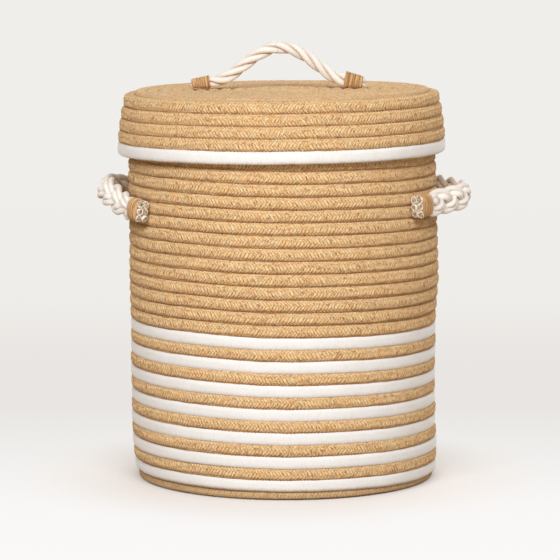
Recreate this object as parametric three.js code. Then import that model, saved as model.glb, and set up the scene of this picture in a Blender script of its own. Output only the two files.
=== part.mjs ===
// Round laundry basket of coiled rope with a lift-off lid.
// The floor, the wall and the lid are each a rope wound turn on turn and sewn.
// Every turn runs level and steps over to the next one at the back.
// The lower wall alternates single turns of white cotton and of jute.
// Two plaited cotton handles stand out at the sides, and a laid cotton rope is the lid's handle.
import * as THREE from "three";

// Rope
const JUTE_ROPE = 14.5; // thickness of the jute rope
const COTTON_ROPE = 13.1; // thickness of the white cotton rope
const SEAM = 0.5; // gap between neighbouring turns, where the thread runs
const ROPE_FLAT = 0.5; // share of a turn's width that bears on the turn above and below
const BUTT_GAP = 0.6; // gap between the butted ends of a single turn

// Coils
const STEPS = 18; // facets in one turn
const COARSE_TURNS = 5; // innermost turns of a flat coil, drawn with half the facets
const JOG = 100; // degrees at the back over which a coil steps to its next turn
const BACK = 90; // azimuth of the back, degrees
const EYE_RADIUS = 8.3; // middle of the rope in the innermost turn of a flat coil

// Wall
const STRIPES = 7; // white turns in the lower wall, with a jute turn between each two
const STRIPE_LIFT = 11; // underside of the lowest white turn, which laps over the floor's edge
const WALL_TURNS = 18; // jute turns above the stripes
const BELLY_RADIUS = 189.3; // largest outer radius of the wall
const BELLY_HEIGHT = 290; // height up to which the wall widens
const FOOT_DRAW = 2; // how far the wall is drawn in at the floor
const RIM_START = 340; // height from which the wall narrows towards the lid
const RIM_DRAW = 8.5; // how far the wall is drawn in at the rim

// Lid
const LID_TURNS = 4; // jute turns in the lid's skirt
const LID_REST = 0.4; // gap between the rim and the lid that rests on it
const LID_CLEARANCE = 1; // running clearance between the skirt and the wall
const LID_RIM_FLARE = 1.2; // how far the white rim turn stands out below the skirt
const SKIRT_DROP = 2.5; // how far the skirt's first turn lies below the top coil

// Handles
const SEAT = 0.35; // gap between a handle's foot and what it is sewn to
const TWINE = 2; // thickness of the jute twine wound round each foot
const TWINE_EASE = 0.3; // gap between the twine and the rope inside it
const TAIL = 4; // cut rope end that stands out of the twine
const STRANDS = 3; // strands in a plait and in a laid rope
const STRAND_SIDES = 5; // facets round one strand
const OVAL_SIDES = 12; // facets round a handle's foot

// Side handles
const PLAIT_WIDTH = 28; // width of the flat plait
const PLAIT_THICKNESS = 16.4; // thickness of the flat plait
const PLAIT_STRAND = 6.8; // thickness of one strand of the plait
const PLAIT_PITCH = 75; // length in which a strand comes back to its edge
const PLAIT_STEPS = 24; // rings along one strand
const SIDE_FOOT_AZIMUTH = 28; // degrees from the handle's middle to the middle of a foot
const SIDE_FOOT_LENGTH = 28; // length of the twine on a side handle's foot
const SIDE_SHANK = 25; // sewn stretch of plait between the twine and the grip
const SIDE_RISE = 27.5; // how far the grip stands out from the line of its two ends
const SIDE_CROWN = -0.44; // fullness of the grip's arch
const LEFT_HANDLE_HEIGHT = 346;
const LEFT_HANDLE_TILT = 20; // degrees that the grip stands up
const RIGHT_HANDLE_HEIGHT = 349;
const RIGHT_HANDLE_TILT = 5;

// Lid handle
const LID_ROPE = 15.6; // thickness of the laid rope
const LID_STRAND = 6.6; // thickness of one of its strands
const LID_ROPE_PITCH = 52; // length of one full twist
const LID_ROPE_STEPS = 36; // rings along one strand
const LID_HANDLE_SPAN = 164; // distance between the two feet
const LID_HANDLE_SHIFT = -6; // place of the handle's middle along the lid
const LID_HANDLE_RISE = 43; // how far the arch rises above its feet
const LID_HANDLE_CROWN = -0.6; // fullness of the arch
const LID_HANDLE_SKEW = 0.22; // how far the arch leans over to its right end
const LID_FOOT_LENGTH = 23; // length of the twine on a lid handle's foot

const RAD = Math.PI / 180;
const STEP_ANGLE = 360 / STEPS;

const jute = { color: 0xb08a52, roughness: 0.95, metalness: 0 };
const cotton = { color: 0xe9e2d4, roughness: 0.9, metalness: 0 };
const twine = { color: 0xc09a62, roughness: 0.95, metalness: 0 };

const basket = new THREE.Group();

function add(group, name, geometry, finish) {
  const mesh = new THREE.Mesh(geometry, new THREE.MeshStandardMaterial(finish));
  mesh.name = name;
  group.add(mesh);
  return mesh;
}

// Closed skin over a row of rings with equally many points, capped at both ends or joined into a loop.
function skin(rings, loop = false) {
  const sides = rings[0].length;
  const positions = rings.flat().flatMap((p) => [p.x, p.y, p.z]);
  const index = [];
  const spans = loop ? rings.length : rings.length - 1;
  for (let i = 0; i < spans; i++) {
    const here = i * sides;
    const next = ((i + 1) % rings.length) * sides;
    for (let j = 0; j < sides; j++) {
      const k = (j + 1) % sides;
      index.push(here + j, here + k, next + k, here + j, next + k, next + j);
    }
  }
  if (!loop) {
    const last = (rings.length - 1) * sides;
    for (let j = 1; j < sides - 1; j++) {
      index.push(0, j + 1, j, last, last + j, last + j + 1);
    }
  }
  const geometry = new THREE.BufferGeometry();
  geometry.setAttribute("position", new THREE.Float32BufferAttribute(positions, 3));
  geometry.setIndex(index);
  geometry.computeVertexNormals();
  return geometry;
}

// Radius of the faceted circle at an azimuth, so that every turn shares the same facets.
// The circle's mean radius is the true one.
const FACET_MEAN = 2 / (1 + Math.cos((STEP_ANGLE / 2) * RAD));
function faceted(radius, azimuth) {
  const turn = ((azimuth % STEP_ANGLE) + STEP_ANGLE) % STEP_ANGLE;
  const fromMiddle = (turn - STEP_ANGLE / 2) * RAD;
  return (radius * FACET_MEAN * Math.cos((STEP_ANGLE / 2) * RAD)) / Math.cos(fromMiddle);
}

// Furthest reach of the faceted circle in the direction of an azimuth.
function reach(radius, azimuth) {
  const nearest = Math.round(azimuth / STEP_ANGLE) * STEP_ANGLE;
  return radius * FACET_MEAN * Math.cos((azimuth - nearest) * RAD);
}

// Six-sided rope section inside the box of inner and outer radius and of bottom and top.
function ropeSection({ azimuth, inner, outer, bottom, top }) {
  const flat = (1 - ROPE_FLAT) / 2;
  const outline = [[0, 0.5], [flat, 1], [1 - flat, 1], [1, 0.5], [1 - flat, 0], [flat, 0]];
  return outline.map(([across, up]) => {
    const radius = faceted(inner + across * (outer - inner), azimuth);
    const height = bottom + up * (top - bottom);
    return new THREE.Vector3(
      radius * Math.cos(azimuth * RAD),
      radius * Math.sin(azimuth * RAD),
      height,
    );
  });
}

// How many turns a stepped coil has climbed at an azimuth counted on from the end of its first jog.
function climbed(degrees) {
  const turn = Math.floor(degrees / 360);
  const intoJog = degrees - turn * 360 - (360 - JOG);
  return turn + Math.max(0, intoJog) / JOG;
}

// Smallest distance between points of a coil that lie most of a turn apart along the rope.
function leastGap(rings, name) {
  const apart = Math.round(STEPS * 0.4);
  let least = Infinity;
  rings.forEach((ring, i) => {
    for (const other of rings.slice(i + apart)) {
      for (const p of ring) {
        for (const q of other) {
          least = Math.min(least, p.distanceTo(q));
        }
      }
    }
  });
  console.log(`${name}: least gap between turns ${least.toFixed(2)} mm`);
}

const JOG_END = BACK + JOG / 2; // azimuth where the level stretch of a turn begins

// Outer radius of the wall at a height.
function wallRadius(height) {
  const belowBelly = Math.max(0, 1 - height / BELLY_HEIGHT);
  const aboveStart = Math.max(0, height - RIM_START) / (wallTop - RIM_START);
  return BELLY_RADIUS - FOOT_DRAW * belowBelly ** 2 - RIM_DRAW * aboveStart ** 2;
}

// Upright coil between two levels, with both rope ends thinned so that its edges are level.
function uprightCoil({ bottom, turns, pitch, rope, outerRadius, name }) {
  const top = bottom + turns * pitch - SEAM;
  const rings = [];
  const first = -JOG + STEP_ANGLE;
  const last = turns * 360 - STEP_ANGLE;
  for (let degrees = first; degrees <= last; degrees += STEP_ANGLE) {
    const low = bottom + climbed(degrees) * pitch;
    const under = Math.max(low, bottom);
    const over = Math.min(low + rope, top);
    const level = THREE.MathUtils.clamp(low, bottom, top - rope);
    const outer = outerRadius(level + rope / 2);
    const thinned = (rope - (over - under)) / 2;
    rings.push(
      ropeSection({
        azimuth: JOG_END + degrees,
        inner: outer - rope + thinned,
        outer: outer - thinned,
        bottom: under,
        top: over,
      }),
    );
  }
  leastGap(rings, name);
  return skin(rings);
}

// Flat coil out from its eye to an edge that is round, with the outer rope end thinned.
function flatCoil({ bottom, edgeRadius, name }) {
  const steps = Math.round((edgeRadius - EYE_RADIUS) / (JUTE_ROPE + SEAM));
  const pitch = (edgeRadius - EYE_RADIUS) / steps;
  const width = pitch - SEAM;
  const rings = [];
  const last = (steps + 1) * 360 - STEP_ANGLE;
  let degrees = 0;
  while (degrees <= last) {
    const middle = EYE_RADIUS + climbed(degrees) * pitch;
    const inner = middle - width / 2;
    const outer = Math.min(middle + width / 2, edgeRadius + width / 2);
    const thinned = (JUTE_ROPE * (1 - (outer - inner) / width)) / 2;
    rings.push(
      ropeSection({
        azimuth: JOG_END + degrees,
        inner,
        outer,
        bottom: bottom + thinned,
        top: bottom + JUTE_ROPE - thinned,
      }),
    );
    degrees += degrees < COARSE_TURNS * 360 ? 2 * STEP_ANGLE : STEP_ANGLE;
  }
  leastGap(rings, name);
  return skin(rings);
}

// One level turn of rope whose ends butt at the back.
function singleTurn({ bottom, rope, outer }) {
  const end = BUTT_GAP / 2 / outer / RAD;
  const first = BACK + STEP_ANGLE / 2;
  const azimuths = [BACK + end];
  for (let i = 0; i < STEPS; i++) {
    azimuths.push(first + i * STEP_ANGLE);
  }
  azimuths.push(BACK + 360 - end);
  const box = { inner: outer - rope, outer, bottom, top: bottom + rope };
  return skin(azimuths.map((azimuth) => ropeSection({ azimuth, ...box })));
}

// Sideways distance at which two turns clear each other when one lies a given height above the other.
function nestedOffset(ropeA, ropeB, heightDifference) {
  const meanRope = (ropeA + ropeB) / 2;
  const slant = (1 - ROPE_FLAT) * meanRope;
  const slope = Math.hypot(slant, meanRope) / meanRope;
  return meanRope - (slant * heightDifference) / meanRope + SEAM * slope;
}

// Heights of the wall
const jutePitch = JUTE_ROPE + SEAM;
const cottonPitch = COTTON_ROPE + SEAM;
const stripesTop = STRIPE_LIFT + STRIPES * cottonPitch + (STRIPES - 1) * jutePitch;
const wallTop = stripesTop + WALL_TURNS * jutePitch - SEAM;

// Floor, whose outermost turn nests inside the lowest white turn
const lowestStripeMiddle = STRIPE_LIFT + COTTON_ROPE / 2;
const lowestStripeRadius = wallRadius(lowestStripeMiddle) - COTTON_ROPE / 2;
const floorEdge =
  lowestStripeRadius - nestedOffset(JUTE_ROPE, COTTON_ROPE, lowestStripeMiddle - JUTE_ROPE / 2);
add(basket, "base_coil", flatCoil({ bottom: 0, edgeRadius: floorEdge, name: "base_coil" }), jute);

// Striped lower wall, counted from the floor up
let level = STRIPE_LIFT;
for (let i = 1; i <= STRIPES; i++) {
  const white = { bottom: level, rope: COTTON_ROPE, outer: wallRadius(level + COTTON_ROPE / 2) };
  add(basket, `white_turn_${i}`, singleTurn(white), cotton);
  level += cottonPitch;
  if (i < STRIPES) {
    const brown = { bottom: level, rope: JUTE_ROPE, outer: wallRadius(level + JUTE_ROPE / 2) };
    add(basket, `jute_turn_${i}`, singleTurn(brown), jute);
    level += jutePitch;
  }
}

// Plain upper wall
const upperWall = {
  bottom: stripesTop,
  turns: WALL_TURNS,
  pitch: jutePitch,
  rope: JUTE_ROPE,
  outerRadius: wallRadius,
  name: "wall_coil",
};
add(basket, "wall_coil", uprightCoil(upperWall), jute);

// Lid: a flat top coil, a skirt that follows the rim's taper, and a white turn at its edge
const lidUnderside = wallTop + LID_REST;
const lidTop = lidUnderside + JUTE_ROPE;
const skirtRadius = (height) => wallRadius(height) + LID_CLEARANCE + JUTE_ROPE;
const skirtTop = lidTop - SKIRT_DROP;
const skirtBottom = skirtTop + SEAM - LID_TURNS * jutePitch;
const skirtFirstRadius = skirtRadius(skirtTop - JUTE_ROPE / 2) - JUTE_ROPE / 2;
const lidEdge = skirtFirstRadius - nestedOffset(JUTE_ROPE, JUTE_ROPE, SKIRT_DROP);
add(
  basket,
  "lid_top_coil",
  flatCoil({ bottom: lidUnderside, edgeRadius: lidEdge, name: "lid_top_coil" }),
  jute,
);
const skirt = {
  bottom: skirtBottom,
  turns: LID_TURNS,
  pitch: jutePitch,
  rope: JUTE_ROPE,
  outerRadius: skirtRadius,
  name: "lid_skirt_coil",
};
add(basket, "lid_skirt_coil", uprightCoil(skirt), jute);
const lidRimBottom = skirtBottom - cottonPitch;
const lidRimInner = wallRadius(lidRimBottom + COTTON_ROPE / 2) + LID_CLEARANCE + LID_RIM_FLARE;
const lidRim = { bottom: lidRimBottom, rope: COTTON_ROPE, outer: lidRimInner + COTTON_ROPE };
add(basket, "lid_rim_turn", singleTurn(lidRim), cotton);

// Outline of a flattened rope with round edges, whose facets touch its full width and thickness.
function oval(width, thickness) {
  const radius = thickness / 2 / Math.cos(Math.PI / OVAL_SIDES);
  const straight = (width - thickness) / 2;
  return Array.from({ length: OVAL_SIDES }, (_, i) => {
    const angle = ((i + 0.5) / OVAL_SIDES) * 2 * Math.PI;
    return [
      radius * Math.cos(angle) + straight * Math.sign(Math.cos(angle)),
      radius * Math.sin(angle),
    ];
  });
}

// Arch of a grip: x runs along the line of its two ends and z stands out from it.
class Arch extends THREE.Curve {
  constructor(halfSpan, rise, crown, skew = 0) {
    super();
    Object.assign(this, { halfSpan, rise, crown, skew });
  }
  getPoint(t, target = new THREE.Vector3()) {
    const u = 2 * t - 1;
    const fullness = (1 - u * u) * (1 + this.skew * u + this.crown * u * u);
    return target.set(u * this.halfSpan, 0, this.rise * fullness);
  }
}

// Strand wound along an arch. Its rings stand square to the line of the arch's ends.
// The lay gives the strand's place across the rope and out of it at a phase of its turn.
function strandAlong(arch, lay, { strand, pitch, steps, phase }) {
  const length = arch.getLength();
  const rings = [];
  for (let i = 0; i <= steps; i++) {
    const middle = arch.getPointAt(i / steps);
    const stretch = 1 / arch.getTangentAt(i / steps).x;
    const angle = ((i / steps) * length * 2 * Math.PI) / pitch + phase;
    const [across, out, acrossSlope, outSlope] = lay(angle, (2 * Math.PI) / pitch);
    const slope = Math.hypot(acrossSlope, outSlope);
    const lean = Math.atan2(outSlope, acrossSlope);
    const ring = [];
    for (let j = 0; j < STRAND_SIDES; j++) {
      const turn = (j / STRAND_SIDES) * 2 * Math.PI;
      const along = (strand / 2) * Math.cos(turn) * Math.hypot(1, slope);
      const aside = (strand / 2) * Math.sin(turn);
      const y = across + along * Math.cos(lean) - aside * Math.sin(lean);
      const z = out + along * Math.sin(lean) + aside * Math.cos(lean);
      ring.push(new THREE.Vector3(middle.x, y, middle.z + z * stretch));
    }
    rings.push(ring);
  }
  return skin(rings);
}

// Plait: each strand swings from edge to edge and passes over and under the others.
function plaitLay(angle, rate) {
  const sway = (PLAIT_WIDTH - PLAIT_STRAND) / 2;
  const weave = (PLAIT_THICKNESS - PLAIT_STRAND) / 2;
  return [
    sway * Math.sin(angle),
    weave * Math.sin(2 * angle),
    sway * rate * Math.cos(angle),
    2 * weave * rate * Math.cos(2 * angle),
  ];
}

// Laid rope: the strands twist round the rope's middle.
function twistLay(angle, rate) {
  const radius = (LID_ROPE - LID_STRAND) / 2;
  return [
    radius * Math.cos(angle),
    radius * Math.sin(angle),
    -radius * rate * Math.sin(angle),
    radius * rate * Math.cos(angle),
  ];
}

function addGrip(group, name, arch, lay, strandSizes) {
  for (let i = 1; i <= STRANDS; i++) {
    const phase = ((i - 1) / STRANDS) * 2 * Math.PI;
    add(group, `${name}_strand_${i}`, strandAlong(arch, lay, { ...strandSizes, phase }), cotton);
  }
}

// Sewn end of a handle's rope, from the square face that the grip meets to the cut tail.
function ropeEnd({ width, thickness, angle, shank, length }) {
  const outline = oval(width, thickness);
  const tail = shank + length + TAIL;
  const meeting = outline.map(([y, z]) => {
    const x = (SEAT - z * Math.sin(angle * RAD)) / Math.cos(angle * RAD);
    return new THREE.Vector3(x, y, z);
  });
  const cut = outline.map(([y, z]) => new THREE.Vector3(tail, y, z));
  return skin([meeting, cut].map((ring) => ring.reverse()).reverse());
}

// Twine wound round a handle's foot, as one sleeve with eased edges.
function whipping({ width, thickness, shank, length }) {
  const inside = oval(width + 2 * TWINE_EASE, thickness + 2 * TWINE_EASE);
  const outside = oval(width + 2 * TWINE, thickness + 2 * TWINE);
  const start = shank + SEAT;
  const end = shank + length;
  const ease = TWINE / 2;
  const rings = inside.map(([y, z], i) => {
    const [outY, outZ] = outside[i];
    const midY = (y + outY) / 2;
    const midZ = (z + outZ) / 2;
    return [
      new THREE.Vector3(start, y, z),
      new THREE.Vector3(end, y, z),
      new THREE.Vector3(end, midY, midZ),
      new THREE.Vector3(end - ease, outY, outZ),
      new THREE.Vector3(start + ease, outY, outZ),
      new THREE.Vector3(start, midY, midZ),
    ];
  });
  return skin(rings, true);
}

// Both sewn feet of a handle, at plus and minus half its span along x.
function addFeet(group, names, halfSpan, sizes) {
  names.forEach((name, i) => {
    const side = new THREE.Group();
    side.rotation.z = i * Math.PI;
    const foot = new THREE.Group();
    foot.position.x = halfSpan;
    foot.rotation.y = sizes.angle * RAD;
    add(foot, `${name}_rope_end`, ropeEnd(sizes), cotton);
    add(foot, `${name}_whipping`, whipping(sizes), twine);
    side.add(foot);
    group.add(side);
  });
}

// Side handle: its feet lie along the wall, and its grip stands out between them.
function addSideHandle(name, facing, height, tilt) {
  const halfHeight = PLAIT_WIDTH / 2 + TWINE;
  const widest = Math.max(wallRadius(height - halfHeight), wallRadius(height + halfHeight));
  const standOff = reach(widest, SIDE_FOOT_AZIMUTH) + SEAT + TWINE + PLAIT_THICKNESS / 2;
  const inwards = SIDE_SHANK + SIDE_FOOT_LENGTH / 2;
  const sine = Math.sin(SIDE_FOOT_AZIMUTH * RAD);
  const cosine = Math.cos(SIDE_FOOT_AZIMUTH * RAD);
  const hingeRadius = standOff * cosine + inwards * sine;
  const halfSpan = standOff * sine - inwards * cosine;

  const side = new THREE.Group();
  side.rotation.z = facing;
  const handle = new THREE.Group();
  handle.position.set(hingeRadius, 0, height);
  const along = new THREE.Vector3(0, 1, 0);
  const up = new THREE.Vector3(0, 0, 1);
  const outwards = new THREE.Vector3(1, 0, 0);
  handle.quaternion.setFromRotationMatrix(new THREE.Matrix4().makeBasis(along, up, outwards));
  const ends = facing === 0 ? ["rear", "front"] : ["front", "rear"];
  addFeet(handle, ends.map((end) => `${name}_${end}`), halfSpan, {
    width: PLAIT_WIDTH,
    thickness: PLAIT_THICKNESS,
    angle: SIDE_FOOT_AZIMUTH,
    shank: SIDE_SHANK,
    length: SIDE_FOOT_LENGTH,
  });
  const grip = new THREE.Group();
  grip.rotation.x = -tilt * RAD;
  addGrip(grip, name, new Arch(halfSpan, SIDE_RISE, SIDE_CROWN), plaitLay, {
    strand: PLAIT_STRAND,
    pitch: PLAIT_PITCH,
    steps: PLAIT_STEPS,
  });
  handle.add(grip);
  side.add(handle);
  basket.add(side);
}
addSideHandle("left_handle", Math.PI, LEFT_HANDLE_HEIGHT, LEFT_HANDLE_TILT);
addSideHandle("right_handle", 0, RIGHT_HANDLE_HEIGHT, RIGHT_HANDLE_TILT);

// Lid handle: its feet lie flat in one line across the lid, and its rope arches between them.
const lidHandle = new THREE.Group();
lidHandle.position.set(LID_HANDLE_SHIFT, 0, lidTop + SEAT + TWINE + LID_ROPE / 2);
addFeet(lidHandle, ["lid_handle_right", "lid_handle_left"], LID_HANDLE_SPAN / 2, {
  width: LID_ROPE,
  thickness: LID_ROPE,
  angle: 0,
  shank: 0,
  length: LID_FOOT_LENGTH,
});
const lidArch = new Arch(
  LID_HANDLE_SPAN / 2,
  LID_HANDLE_RISE,
  LID_HANDLE_CROWN,
  LID_HANDLE_SKEW,
);
addGrip(lidHandle, "lid_handle", lidArch, twistLay, {
  strand: LID_STRAND,
  pitch: LID_ROPE_PITCH,
  steps: LID_ROPE_STEPS,
});
basket.add(lidHandle);

export default basket;
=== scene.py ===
import math

import bpy
import numpy as np
from mathutils import Matrix, Vector


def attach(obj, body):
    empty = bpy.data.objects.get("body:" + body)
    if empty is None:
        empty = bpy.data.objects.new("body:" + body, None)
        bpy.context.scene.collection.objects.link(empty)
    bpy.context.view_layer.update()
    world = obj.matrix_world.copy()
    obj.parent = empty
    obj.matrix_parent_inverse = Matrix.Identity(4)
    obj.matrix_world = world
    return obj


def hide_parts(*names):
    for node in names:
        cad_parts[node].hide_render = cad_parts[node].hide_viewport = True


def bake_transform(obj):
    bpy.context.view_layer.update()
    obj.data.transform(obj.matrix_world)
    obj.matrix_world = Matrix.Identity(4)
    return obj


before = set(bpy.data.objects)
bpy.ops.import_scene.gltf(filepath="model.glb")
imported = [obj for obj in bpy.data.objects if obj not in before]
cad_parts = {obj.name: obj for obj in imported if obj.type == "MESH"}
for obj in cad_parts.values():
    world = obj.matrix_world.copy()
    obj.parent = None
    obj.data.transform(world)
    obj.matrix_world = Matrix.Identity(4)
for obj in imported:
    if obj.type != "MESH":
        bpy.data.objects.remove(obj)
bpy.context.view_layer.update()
bpy.ops.object.select_all(action="DESELECT")

# Floor of the basket
# One jute rope wound as a flat spiral from an eye in the middle and sewn turn to turn. The rope is a tubular
# braid: ten columns of slanting yarns round a core of loose fibre. The coil is drawn in two lengths.
MM = 0.001
JUTE_ROPE = 14.5 * MM
EYE_RADIUS = 8.3 * MM  # from the axis to the middle of a flat coil's first turn
FLOOR_EDGE = 171.8 * MM  # and to the middle of the floor's outermost turn
FLOOR_TURNS = 11
PRESSED = 3.5 * MM  # how far the floor's outermost turn is pressed out under the wall
FLOOR_ASIDE = (3.5 * MM, 0, 0)  # how far the floor lies to the right of the axis
FLAT_SEAM = 0.1 * MM  # gap between the turns of a flat coil
FLAT_LENGTHS = 2  # pieces that a flat coil is drawn in
JOG = 100  # degrees at the back over which a coil steps to its next turn
JOG_END = 140  # azimuth where the level stretch of a turn begins
TAIL = 24  # degrees left off each thinned end of a coil
COURSE_SAMPLES = 4000  # places at which a rope's course is measured
DRIFT = 25  # most radians that a slow wave of the sewing shifts by over a metre of height

COLUMNS = 10  # columns of yarn round a rope
ACROSS = 3  # faces across one column
JUTE_YARN = 4.1 * MM  # length of rope that one yarn of a column takes up
JUTE_RELIEF = 0.36 * MM  # height of a yarn over the mean surface
JUTE_FULLNESS = 0.7  # power of a rope's section: 1 for an ellipse, less for a fuller one
JUTE_LAY = (JUTE_YARN, JUTE_RELIEF, JUTE_FULLNESS)
SLANT = 4.0 * MM  # how far a yarn runs along the rope while it crosses its column
STRAIGHT = 2.5 * SLANT  # length of a rope's end over which its yarns lose their slant
STRAY = 0.25 * MM  # how far a yarn lies ahead of its even place, or behind it
CREST_LIFT = (0.6, 1.4)  # least and most share of the relief that a yarn rises by
EDGE_LIFT = -0.2  # the same where two columns meet
TUCKED = 0.16  # share of a rope's height at each seam where its yarns are pressed flat
ROLL = 0.32  # radians that a rope rolls over to either side on its way
ROLL_RATE = 1200  # degrees of its slowest roll for each metre of rope
PATTERN_STEP = 300  # yarns by which the pattern is ahead for each metre of its start
YARN_MARGIN = 0.002  # share of a column by which a face keeps off the next column's pattern
CORNERS = ((0, 0), (1, 0), (1, 1), (0, 1))  # corners of a face: rows ahead and points aside
STRIP_MARGIN = 0.03  # share of a strip of the flat layout that stays free at each edge
BRAID_ASPECT = 1.15  # a larger one lays a rope out flat in fewer and longer strips


def soft_step(value, low, high):
    """0 at low, 1 at high and a soft rise between."""
    share = np.clip((value - low) / (high - low), 0, 1)
    return share * share * (3 - 2 * share)


def jogged(degrees):
    """Turns that a coil has climbed: it runs level and steps over at the back."""
    turn = np.floor(degrees / 360)
    return turn + soft_step(degrees - turn * 360, 360 - JOG, 360)


def unevenness(seed, azimuth, height, waves):
    """Slow ups and downs of hand sewing, about -1 to 1, alike on turns that lie near each other."""
    draw = np.random.default_rng(seed)
    total = np.zeros(np.broadcast(azimuth, height).shape)
    for wave in range(1, waves + 1):
        start = draw.uniform(0, 2 * math.pi)
        drift = draw.uniform(-DRIFT, DRIFT)
        total += np.sin(wave * np.radians(azimuth) + start + drift * height) / math.sqrt(wave)
    return total / 2


def signed_power(value, power):
    """A power that keeps the sign."""
    return np.sign(value) * np.abs(value) ** power


def strip_map(rows, around, aspect):
    """Flat layout of a tube's faces in the unit square, cut into strips laid side by side."""
    strips = max(1, round(math.sqrt(rows / around / aspect)))
    long = math.ceil(rows / strips)
    row = np.arange(rows)[:, None]
    side = np.arange(around)[None, :]
    strip, place = row // long, row % long
    corners = []
    for ahead, aside in CORNERS:
        u = (place + ahead + 0.5) / (long + 1) + 0 * side
        v = (strip + STRIP_MARGIN + (1 - 2 * STRIP_MARGIN) * (side + aside) / around) / strips
        corners.append(np.stack([u, v], -1))
    return np.stack(corners, 2)


def tube_mesh(name, points, maps, creases=None):
    """Closed tube over rows of points, with rounds of faces between them and a face over each end.
    maps holds, for each UV map, its places at the four corners of every face. creases says from which
    points the edge along the row is sharp."""
    rows, around = points.shape[:2]
    here = np.arange((rows - 1) * around).reshape(rows - 1, around)
    beside = np.roll(here, -1, axis=1)
    quads = np.stack([here, here + around, beside + around, beside], -1).reshape(-1)
    caps = [np.arange(around), np.arange((rows - 1) * around, rows * around)[::-1]]
    corners = np.concatenate([quads, *caps])
    sizes = np.concatenate([np.full((rows - 1) * around, 4), [around, around]])
    mesh = bpy.data.meshes.new(name)
    mesh.vertices.add(rows * around)
    mesh.vertices.foreach_set("co", points.astype(np.float32).ravel())
    mesh.loops.add(len(corners))
    mesh.loops.foreach_set("vertex_index", corners.astype(np.int32))
    mesh.polygons.add(len(sizes))
    starts = np.concatenate([[0], np.cumsum(sizes)[:-1]])
    mesh.polygons.foreach_set("loop_start", starts.astype(np.int32))
    mesh.polygons.foreach_set("loop_total", sizes.astype(np.int32))
    mesh.update(calc_edges=True)
    for key, places in maps.items():
        layer = mesh.uv_layers.new(name=key)
        on_faces = places.reshape(-1, 2)
        on_caps = np.tile(on_faces[:1], (2 * around, 1))
        flat = np.concatenate([on_faces, on_caps])
        layer.uv.foreach_set("vector", flat.astype(np.float32).ravel())
    if creases is not None:
        ends = np.empty(2 * len(mesh.edges), np.int32)
        mesh.edges.foreach_get("vertices", ends)
        row, side = np.divmod(ends.reshape(-1, 2), around)
        first = np.where(np.ptp(side, axis=1) > 1, side.max(1), side.min(1))
        level = (row[:, 0] == row[:, 1]) & creases[row[:, 0], first]
        sharp = mesh.attributes.new("sharp_edge", "BOOLEAN", "EDGE")
        sharp.data.foreach_set("value", level)
    piece = bpy.data.objects.new(name, mesh)
    bpy.context.collection.objects.link(piece)
    return piece


def braid_maps(along, rolled, start):
    """Places on a braided rope's faces: each yarn's number and column in one map, and the way along and
    round the rope in the other."""
    rows, around = along.shape
    row = np.arange(rows - 1)[:, None]
    side = np.arange(around)[None, :]
    column = side // ACROSS
    yarn, rope = [], []
    for ahead, aside in CORNERS:
        number = (row + ahead - column % 2) / 2 + round(start * PATTERN_STEP)
        place = column + YARN_MARGIN + (1 - 2 * YARN_MARGIN) * ((side % ACROSS + aside) / ACROSS)
        yarn.append(np.stack(np.broadcast_arrays(number, place), -1))
        far = start + along[row + ahead, (side + aside) % around]
        arc = (side + aside) / around + rolled[row[:, 0] + ahead] / (2 * math.pi)
        rope.append(np.stack([far, arc], -1))
    return {"Yarn": np.stack(yarn, 2), "Rope": np.stack(rope, 2)}


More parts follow.
